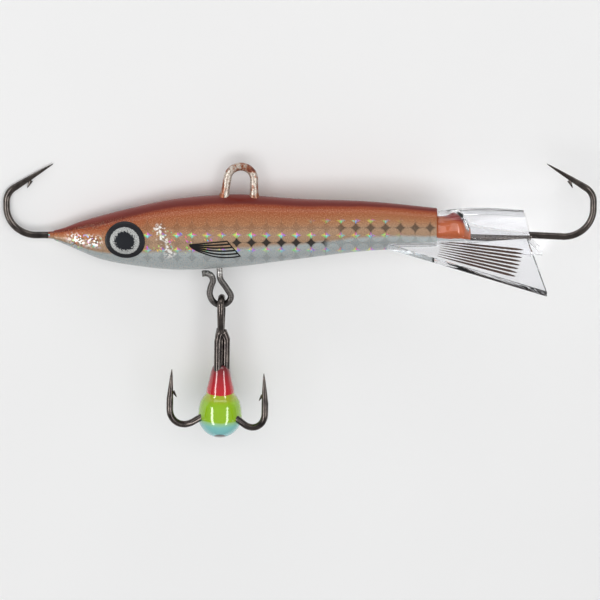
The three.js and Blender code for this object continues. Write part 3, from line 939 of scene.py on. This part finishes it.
class Painter:
    """A material with a Principled shader, and the texture nodes that feed it."""

    def __init__(self, name):
        self.material = bpy.data.materials.new(name)
        self.material.use_nodes = True
        self.tree = self.material.node_tree
        self.shader = next(n for n in self.tree.nodes if n.type == "BSDF_PRINCIPLED")

    def set(self, **values):
        """Plain values or fields for the shader's sockets, named with _ for each space."""
        for name, value in values.items():
            plug(self.tree, value, self.shader.inputs[name.replace("_", " ")])
        return self

    def coordinates(self, attribute):
        """The stored vector as a whole and as its three parts."""
        node = self.tree.nodes.new("ShaderNodeAttribute")
        node.attribute_name = attribute
        split = self.tree.nodes.new("ShaderNodeSeparateXYZ")
        self.tree.links.new(node.outputs["Vector"], split.inputs[0])
        return Field(self.tree, node.outputs["Vector"]), *(Field(self.tree, s) for s in split.outputs)

    def place(self):
        """Object coordinates in millimetres."""
        node = self.tree.nodes.new("ShaderNodeTexCoord")
        scale = self.tree.nodes.new("ShaderNodeVectorMath")
        scale.operation = "SCALE"
        scale.inputs["Scale"].default_value = 1 / MM
        self.tree.links.new(node.outputs["Object"], scale.inputs[0])
        return Field(self.tree, scale.outputs["Vector"])

    def vector(self, x, y, z=0.0):
        node = self.tree.nodes.new("ShaderNodeCombineXYZ")
        for slot, value in enumerate((x, y, z)):
            plug(self.tree, value, node.inputs[slot])
        return Field(self.tree, node.outputs[0])

    def noise(self, vector, scale, detail=2.0, roughness=0.5):
        node = self.tree.nodes.new("ShaderNodeTexNoise")
        plug(self.tree, vector, node.inputs["Vector"])
        node.inputs["Scale"].default_value = scale
        node.inputs["Detail"].default_value = detail
        node.inputs["Roughness"].default_value = roughness
        return Field(self.tree, node.outputs["Fac"])

    def cells(self, vector, scale):
        """Distance to the nearest cell centre, and a random value for each cell."""
        node = self.tree.nodes.new("ShaderNodeTexVoronoi")
        plug(self.tree, vector, node.inputs["Vector"])
        node.inputs["Scale"].default_value = scale
        split = self.tree.nodes.new("ShaderNodeSeparateColor")
        self.tree.links.new(node.outputs["Color"], split.inputs[0])
        parts = [Field(self.tree, s) for s in split.outputs]
        return Field(self.tree, node.outputs["Distance"]), *parts

    def dice(self, x, y):
        """Random values that are the same for the same pair of whole numbers."""
        node = self.tree.nodes.new("ShaderNodeTexWhiteNoise")
        node.noise_dimensions = "2D"
        plug(self.tree, self.vector(x, y), node.inputs["Vector"])
        return Field(self.tree, node.outputs["Value"])

    def ramp(self, factor, stops):
        """Colour by value: stops are (value, colour), smooth between them."""
        low, high = stops[0][0], stops[-1][0]
        node = self.tree.nodes.new("ShaderNodeValToRGB")
        share = (factor - low) / (high - low)
        plug(self.tree, share, node.inputs[0])
        elements = node.color_ramp.elements
        while len(elements) > 1:
            elements.remove(elements[-1])
        elements[0].position = 0.0
        elements[0].color = stops[0][1]
        for value, colour in stops[1:]:
            element = elements.new((value - low) / (high - low))
            element.color = colour
        return Field(self.tree, node.outputs["Color"])

    def mix(self, factor, first, second, blend="MIX"):
        node = self.tree.nodes.new("ShaderNodeMix")
        node.data_type = "RGBA"
        node.blend_type = blend
        plug(self.tree, factor, node.inputs["Factor"])
        plug(self.tree, first, node.inputs[6])
        plug(self.tree, second, node.inputs[7])
        return Field(self.tree, node.outputs[2])

    def rainbow(self, hue, saturation, value):
        node = self.tree.nodes.new("ShaderNodeCombineColor")
        node.mode = "HSV"
        for slot, part in enumerate((hue, saturation, value)):
            plug(self.tree, part, node.inputs[slot])
        return Field(self.tree, node.outputs[0])

    def curve(self, factor, points):
        """Smooth curve through points, both axes 0 to 1."""
        node = self.tree.nodes.new("ShaderNodeFloatCurve")
        plug(self.tree, factor, node.inputs["Value"])
        curve = node.mapping.curves[0]
        curve.points[0].location = points[0]
        curve.points[1].location = points[-1]
        for p in points[1:-1]:
            curve.points.new(*p)
        node.mapping.update()
        return Field(self.tree, node.outputs[0])

    def bump(self, height, distance, strength=1.0):
        node = self.tree.nodes.new("ShaderNodeBump")
        node.inputs["Distance"].default_value = distance * MM
        node.inputs["Strength"].default_value = strength
        plug(self.tree, height, node.inputs["Height"])
        self.tree.links.new(node.outputs[0], self.shader.inputs["Normal"])
        return self


# Body paint

# The red stripe's top is lighter and greyer: red paint with a painted reflection along the back
STRIPE_WITH_TOP_SHEEN = srgb(128, 52, 44)
STRIPE = srgb(104, 24, 12)
STRIPE_EDGE = srgb(144, 60, 30)
COPPER = srgb(162, 84, 48)
TAN = srgb(164, 110, 74)
GOLD_GREY = srgb(164, 134, 108)
SILVER = srgb(172, 184, 186)
BELLY = srgb(174, 184, 187)
INK = srgb(10, 8, 8)
STUB_COPPER = srgb(152, 72, 30)
STUB_RED = srgb(116, 10, 6)

FLAKES_PER_MM = 4.5
SCALE_PITCH = 1.93
SCALE_CENTRE = photo_point(236.8, 242.8)


def foil_material():
    p = Painter("painted_foil")
    _, u, v, turn = p.coordinates("foil")
    flat = p.vector(u, v)
    wander = p.noise(flat, 0.35, 3.0) - 0.5
    fine = p.noise(flat, 9.0, 2.0, 0.7) - 0.5
    warped = turn + wander * 7.0 + fine * 3.0
    nose = u.over(-18.0, -29.0)
    tail = u.over(0.0, 16.0)
    colour = p.ramp(warped + nose * 17.0 - tail * 6.0, [
        (-90.0, BELLY),
        (-46.0, BELLY),
        (-21.0, SILVER),
        (-13.0, GOLD_GREY),
        (4.0, GOLD_GREY),
        (24.0, TAN),
        (47.0, COPPER),
        (58.0, STRIPE_EDGE),
        (64.0, STRIPE),
        (70.0, STRIPE),
        # Lighter, greyer top of the stripe: painted reflection over the red
        (90.0, STRIPE_WITH_TOP_SHEEN),
    ])
    paint_side = turn.over(66.0, 50.0)
    # The scales return painted glints as well as their printed pattern
    colour, painted_glint_mask, dark = scales(p, colour, u, v, paint_side)
    grain = p.noise(flat, 6.5, 2.0, 0.8)
    speckle = paint_side * (0.34 - 0.34 * dark)
    colour = p.mix(grain.over(0.5, 0.66) * speckle, colour, srgb(232, 184, 140))
    colour = p.mix(grain.over(0.5, 0.34) * speckle, colour, srgb(88, 56, 38))
    _, flake, flake_hue, _ = p.cells(flat, FLAKES_PER_MM)
    colour, nose_shine = nose_foil(p, colour, u, v, flake, flake_hue)
    colour = crease(p, colour, u, v, flake)
    fin = pectoral_fin(p, u, v)
    colour = p.mix(fin, colour, INK)
    colour = stub_paint(p, colour, u, v)
    metal = (0.22 - 0.22 * fin) * turn.over(68.0, 56.0)
    p.set(
        Base_Color=colour,
        Metallic=metal,
        Roughness=0.46 - 0.14 * painted_glint_mask.most(nose_shine) + 0.1 * fine,
        Specular_IOR_Level=0.2,
        Coat_Weight=0.35,
        Coat_Roughness=0.06,
        Coat_IOR=1.5,
    )
    p.bump(p.noise(flat, 6.0, 3.0) * 0.6 + painted_glint_mask * 0.4, 0.02, 0.35)
    return p.material


def scales(p, colour, u, v, side):
    """Scale foil: a square lattice of touching circles, dark between them, with painted glints where they
    touch.
    """
    across = (u - SCALE_CENTRE[0]) / SCALE_PITCH
    down = (v - SCALE_CENTRE[1]) / SCALE_PITCH
    column = across.math("ROUND")
    row = down.math("ROUND")
    fx = abs(across - column)
    fy = abs(down - row)
    reach = ((0.5 - fx) * (0.5 - fx) + (0.5 - fy) * (0.5 - fy)).math("SQRT")
    gap = reach.over(0.49, 0.54)
    first_row = both(abs(row).over(0.6, 0.4), u.over(-9.2, -8.6), u.over(4.2, 2.8))
    second_row = both(abs(row - 1.0).over(0.6, 0.4), u.over(3.0, 6.0))
    faint = both(abs(row).over(1.6, 1.4), u.over(-23.0, -20.0)) * 0.25
    dark = gap * (first_row + second_row * 0.75).most(faint).least(1.0)
    body = p.mix(dark * 0.95, colour, srgb(34, 31, 30))
    rim = both(reach.over(0.44, 0.48), reach.over(0.52, 0.49), abs(v + 0.1).over(2.6, 1.6))
    body = p.mix(rim * side * 0.35, body, srgb(92, 82, 72))
    # Painted glints, the foil's rainbow flashes painted into the colour, sit where two circles touch side
    # by side, above and below each dark star
    touch_y = 0.5 - fy
    star = (fx / 0.46).math("POWER", 0.75) + (touch_y / 0.3).math("POWER", 0.75)
    lean = (across - column).math("ARCTAN2", down - row)
    chance = p.dice(column, row + (down - row).math("SIGN"))
    ray = p.noise(p.vector(lean * 2.4, chance * 9.0), 2.2, 1.0)
    hue = (chance * 0.35 + lean * 0.45 + ray * 0.5).math("FRACT")
    bright_row = abs(v + 0.9).over(1.7, 0.9).most(abs(v - 1.0).over(1.2, 0.6) * u.over(0.0, 6.0))
    painted_glint = both(star.over(1.0, 0.55), ray.over(0.3, 0.5), bright_row, side)
    painted_glint = painted_glint * u.over(-23.5, -20.0) * u.over(14.5, 9.0) * (0.55 + 0.45 * chance)
    # Painted glint specks as well, towards the head
    tilted = p.vector(u * 1.5 + v * 0.6, v)
    distance, first, *_ = p.cells(tilted, 1.7)
    broken = p.noise(tilted, 5.0, 2.0).over(0.4, 0.55)
    speck = both(distance.over(0.42, 0.2), first.over(0.7, 0.76), abs(v + 0.9).over(1.7, 1.0), broken)
    speck = speck * u.over(-8.0, -14.0) * side
    painted_glint = painted_glint.most(speck).least(1.0)
    core = star.over(0.6, 0.15)
    shine = p.mix(0.05 + 0.4 * core, p.rainbow(hue, 0.95, 1.0), (1.0, 1.0, 1.0, 1.0))
    return p.mix(painted_glint, body, shine), painted_glint, dark


def nose_foil(p, colour, u, v, flake, flake_hue):
    """Bare broken foil ahead of the eye: dark flakes, and white and coloured flakes that are painted
    glints of the foil.
    """
    slant = v + 0.7 + (u + 28.0) * 0.12
    area = both(u.over(-30.8, -29.0), u.over(-25.2, -26.6), abs(slant).over(1.1, 0.25))
    # White and coloured flakes: painted glints on the bare foil
    bright = both(area, flake.over(0.5, 0.58))
    dark = both(area, flake.over(0.2, 0.14))
    tint = p.rainbow((flake_hue * 5.0).math("FRACT"), 0.6, 1.0)
    shine = p.mix(flake_hue.over(0.68, 0.72), srgb(248, 246, 240), tint)
    colour = p.mix(dark * 0.7, colour, srgb(74, 60, 50))
    return p.mix(bright, colour, shine), bright


def crease(p, colour, u, v, flake):
    """A thin crackled white line in the foil behind the eye, with flakes beside it and painted shade
    along it.
    """
    top = photo_point(158, 224)
    bottom = photo_point(171, 259)
    lean = (bottom[0] - top[0]) / (bottom[1] - top[1])
    centre = (v - top[1]) * lean + top[0]
    jag = p.noise(p.vector(u * 0.12, v), 2.2, 4.0, 0.7) - 0.5
    distance = abs(u - centre + jag * 2.0)
    span = both(v.over(bottom[1] - 0.2, bottom[1] + 0.6), v.over(top[1] + 0.3, top[1] - 0.5))
    thread = distance.over(0.22, 0.1) * (0.35 + 0.65 * flake.over(0.3, 0.45))
    beside = distance.over(1.0, 0.3) * flake.over(0.74, 0.8)
    white = thread.most(beside) * span
    shaded = p.mix(both(distance.over(0.7, 0.25), span) * 0.35, colour, srgb(112, 98, 88))
    return p.mix(white * 0.9, shaded, srgb(246, 243, 238))


def pectoral_fin(p, u, v):
    """Printed fin behind the head: an outline and four rays that fan out from its root."""
    root = photo_point(189, 245)
    top_end = photo_point(227.5, 241.3)
    rear_end = photo_point(240, 255.6)
    length = rear_end[0] - root[0]
    depth = 1.75
    share = (u - root[0]) / length
    upper = (u - root[0]) * ((top_end[1] - root[1]) / (top_end[0] - root[0])) + root[1]
    sag = p.curve(share, [
        (0.0, 0.0), (0.08, 0.28), (0.29, 0.64), (0.6, 0.93), (0.85, 0.93), (1.0, 0.84),
    ])
    lower = root[1] - sag * depth
    height = upper - lower
    rear = (top_end[1] - v) * ((rear_end[0] - top_end[0]) / (top_end[1] - rear_end[1])) + top_end[0]
    place = (upper - v) / height.most(0.02) * 5.0
    ray = abs(place - place.math("ROUND")) / 5.0 * height
    inside = both(
        (u - root[0]).over(-0.05, 0.1), (u - rear).over(0.09, 0.04),
        (v - upper).over(0.1, 0.05), (lower - v).over(0.1, 0.05),
    )
    root_ink = height.over(0.9, 0.72)
    lines = ray.over(0.14, 0.09).most(abs(u - rear).over(0.17, 0.12)).most(root_ink)
    return lines * inside


def stub_paint(p, colour, u, v):
    """Inside the sleeve the stub is copper with a red back and bare silver below."""
    on_stub = u.over(17.7, 17.75)
    blend = p.noise(p.vector(u, v), 1.6, 3.0)
    red = (v + blend * 0.6 + (u - 19.0) * 0.3).over(2.2, 2.75)
    silver = (v + blend * 0.3).over(-0.15, -0.3)
    paint = p.mix(red, STUB_COPPER, STUB_RED)
    paint = p.mix(silver, paint, SILVER)
    return p.mix(on_stub, colour, paint)


# Other materials

def nickel_material():
    """Black nickel: dark polished steel, a little uneven."""
    p = Painter("black_nickel_plate")
    where = p.place()
    patches = p.noise(where, 0.9, 3.0)
    fine = p.noise(where, 7.0, 2.0)
    p.set(
        Base_Color=p.ramp(patches, [(0.3, srgb(66, 61, 60)), (0.7, srgb(108, 100, 95))]),
        Metallic=1.0,
        Roughness=0.12 + 0.12 * patches + 0.05 * fine,
    )
    p.bump(fine, 0.01, 0.25)
    return p.material


def wire_material():
    """Bare dark wire below the belly; silver, copper and dark red paint on the line tie."""
    p = Painter("line_tie_paint")
    where, x, _, z = p.coordinates("jig")
    patches = p.noise(where, 1.1, 3.0, 0.6)
    specks = p.noise(where, 5.5, 3.0, 0.75)
    silver = p.ramp(specks, [
        (0.35, srgb(120, 92, 74)),
        (0.52, srgb(206, 196, 184)),
        (0.7, srgb(240, 236, 228)),
    ])
    foot = z.over(6.1, 5.5)
    over_top = z.over(8.2, 9.0)
    mottle = patches * 0.6 + specks * 0.4
    edge = abs(x - TIE_ARC_CENTRE[0]).over(2.05, 2.25)
    copper = (mottle + 0.1 * over_top + 0.06 * foot + 0.14 * edge).over(0.55, 0.62)
    red = (mottle + 0.1 * over_top + 0.05 * edge).over(0.62, 0.68)
    paint = p.mix(copper, silver, srgb(150, 84, 50))
    paint = p.mix(red * 0.8, paint, srgb(92, 30, 20))
    bare = p.ramp(specks, [(0.35, srgb(58, 55, 54)), (0.65, srgb(104, 99, 96))])
    frost = z.over(-5.9, -4.9)
    bare = p.mix(both(frost, specks.over(0.4, 0.6)), bare, srgb(214, 212, 208))
    painted = z.over(3.0, 4.0)
    p.set(
        Base_Color=p.mix(painted, bare, paint),
        Metallic=1.0 - 0.45 * painted,
        Roughness=0.3 + 0.1 * specks,
        Coat_Weight=0.5,
        Coat_Roughness=0.1,
    )
    p.bump(specks, 0.05, 0.5)
    return p.material


def bead_dot_place():
    """Centre of the painted dot, on the ball's lower left side, in the treble's own frame."""
    outward = Vector((0, -math.sin(BEAD_DOT_TILT), -math.cos(BEAD_DOT_TILT)))
    local = treble_matrix().to_3x3().transposed() @ outward
    return local * BEAD_BALL_RADIUS - Vector((0, 0, BEAD_BALL_CENTRE))


def enamel_material():
    """Glossy enamel in three bands: red cone, lime ball, light blue foot with a black dot."""
    p = Painter("bead_enamel")
    where, x, y, z = p.coordinates("drop")
    wave = (p.noise(where, 0.5, 2.0) - 0.5) * 0.25
    down = wave - z
    red = p.ramp(down, [(9.6, srgb(92, 22, 28)), (11.2, srgb(168, 14, 30)), (13.6, srgb(204, 4, 26))])
    lime = p.mix(down.over(13.8, 14.6), srgb(166, 176, 20), srgb(146, 192, 4))
    blue = p.ramp(down, [
        (16.8, srgb(160, 208, 128)),
        (17.5, srgb(132, 202, 196)),
        (19.6, srgb(112, 188, 198)),
    ])
    colour = p.mix(down.over(13.36, 13.46), red, lime)
    colour = p.mix(down.over(16.7, 16.95), colour, blue)
    off = [part - place for part, place in zip((x, y, z), bead_dot_place())]
    distance = (off[0] * off[0] + off[1] * off[1] + off[2] * off[2]).math("SQRT")
    colour = p.mix(distance.over(0.78, 0.68), colour, INK)
    p.set(
        Base_Color=colour,
        Roughness=0.12 + 0.08 * p.noise(where, 2.0, 2.0),
        Coat_Weight=1.0,
        Coat_Roughness=0.03,
    )
    p.bump(p.noise(where, 0.8, 2.0), 0.06, 0.3)
    return p.material


def clear_material():
    """Clear moulded plastic, see-through by the shader's own values."""
    p = Painter("clear_moulding")
    where = p.place()
    flow = p.noise(where, 0.5, 2.0)
    p.set(
        Base_Color=(0.9, 0.903, 0.923, 1.0),
        Roughness=0.01,
        IOR=1.45,
        Transmission_Weight=1.0,
    )
    p.bump(flow, 0.05, 0.3)
    return p.material


def ink_material():
    p = Painter("brown_ink")
    where = p.place()
    grain = p.noise(where, 4.0, 3.0, 0.7)
    p.set(
        Base_Color=p.ramp(grain, [(0.35, srgb(46, 28, 22)), (0.65, srgb(78, 52, 40))]),
        Roughness=0.4 + 0.2 * grain,
    )
    return p.material


def eye_material():
    """Black disc with a ragged silver ring of grainy foil round a black pupil."""
    p = Painter("eye_print")
    _, x, y, _ = p.coordinates("disc")
    radius = (x * x + y * y).math("SQRT")
    teeth = p.noise(p.vector(x, y), 11.0, 3.0, 0.7) - 0.5
    outer = (radius + teeth * 0.1).over(0.745, 0.725)
    inner = (radius + teeth * 0.62).over(0.5, 0.53)
    ring = outer * inner
    grain = p.noise(p.vector(x, y), 26.0, 2.0, 0.8)
    silver = p.ramp(grain, [
        (0.36, srgb(104, 106, 106)),
        (0.5, srgb(170, 172, 170)),
        (0.64, srgb(216, 216, 214)),
    ])
    dark = p.mix(radius.over(0.6, 0.5), srgb(24, 24, 29), srgb(10, 15, 24))
    p.set(
        Base_Color=p.mix(ring, dark, silver),
        Metallic=ring * 0.35,
        Roughness=0.35 + 0.15 * grain,
        Specular_IOR_Level=0.2,
        Coat_Weight=0.3,
        Coat_Roughness=0.12,
    )
    p.bump(grain * ring, 0.02, 0.4)
    return p.material


# The pieces

nickel = nickel_material()
eye_print = eye_material()
piece(painted_body(), foil_material(), "body")
piece(single_hook("front_hook", NOSE_SHANK_INNER_END, 0.0, True), nickel, "nose_hook")
piece(single_hook("rear_hook", TAIL_SHANK_INNER_END, TAIL_SHANK_DROP, False), nickel, "tail_hook")
piece(bent_wire(), wire_material(), "line_tie_wire")
piece(treble(), nickel, "treble_hook")
piece(bead_drop(), enamel_material(), "treble_bead")
fin = piece(clear_fin(), clear_material(), "tail_fin")
fin.visible_shadow = False
piece(fin_rays(), ink_material(), None)
piece(eye_disc("left_eye", -1), eye_print, "eye_left")
piece(eye_disc("right_eye", 1), eye_print, "eye_right")


# Stage and light

def add_floor():
    size = 1.5
    steps = 12
    bm = bmesh.new()
    bmesh.ops.create_grid(bm, x_segments=steps, y_segments=steps, size=size)
    mesh = bpy.data.meshes.new("floor")
    bm.to_mesh(mesh)
    bm.free()
    floor = bpy.data.objects.new("floor", mesh)
    bpy.context.scene.collection.objects.link(floor)
    p = Painter("pale_floor")
    where = p.place()
    shade = p.noise(where, 0.02, 2.0)
    p.set(
        Base_Color=p.ramp(shade, [(0.3, (0.9, 0.9, 0.9, 1)), (0.7, (0.92, 0.92, 0.92, 1))]),
        Roughness=0.9,
    )
    mesh.materials.append(p.material)


def softbox(name, across, up, out, width, height, power):
    """Area light placed along the image's own axes, in mm, and aimed at the jig."""
    light = bpy.data.lights.new(name, "AREA")
    light.shape = "RECTANGLE"
    light.size = width
    light.size_y = height
    light.energy = power
    obj = bpy.data.objects.new(name, light)
    bpy.context.scene.collection.objects.link(obj)
    target = photo_middle()
    location = target + IMAGE_RIGHT * across + IMAGE_UP * up + TO_CAMERA * out
    obj.matrix_world = aimed(location, target, IMAGE_UP)
    return obj


def add_light():
    key = softbox("overhead_softbox", 0, -250, 1020, 1.2, 1.1, 8.4)
    key.visible_glossy = False
    softbox("top_softbox", 0, 700, 700, 1.3, 0.3, 1.8)
    # The strips only show in reflections, and reach low enough for the wires that hang down
    strips = (("left_softbox", -560, 560, 0.16, 4.0), ("right_softbox", 520, 600, 0.14, 3.2))
    for name, across, out, width, power in strips:
        strip = softbox(name, across, -260, out, width, 0.9, power)
        strip.visible_diffuse = False
    world = bpy.data.worlds.new("studio")
    world.use_nodes = True
    background = next(n for n in world.node_tree.nodes if n.type == "BACKGROUND")
    background.inputs["Color"].default_value = (1.0, 1.0, 1.0, 1.0)
    background.inputs["Strength"].default_value = 0.36
    bpy.context.scene.world = world
    bpy.context.scene.view_settings.view_transform = "Standard"


add_floor()
add_light()
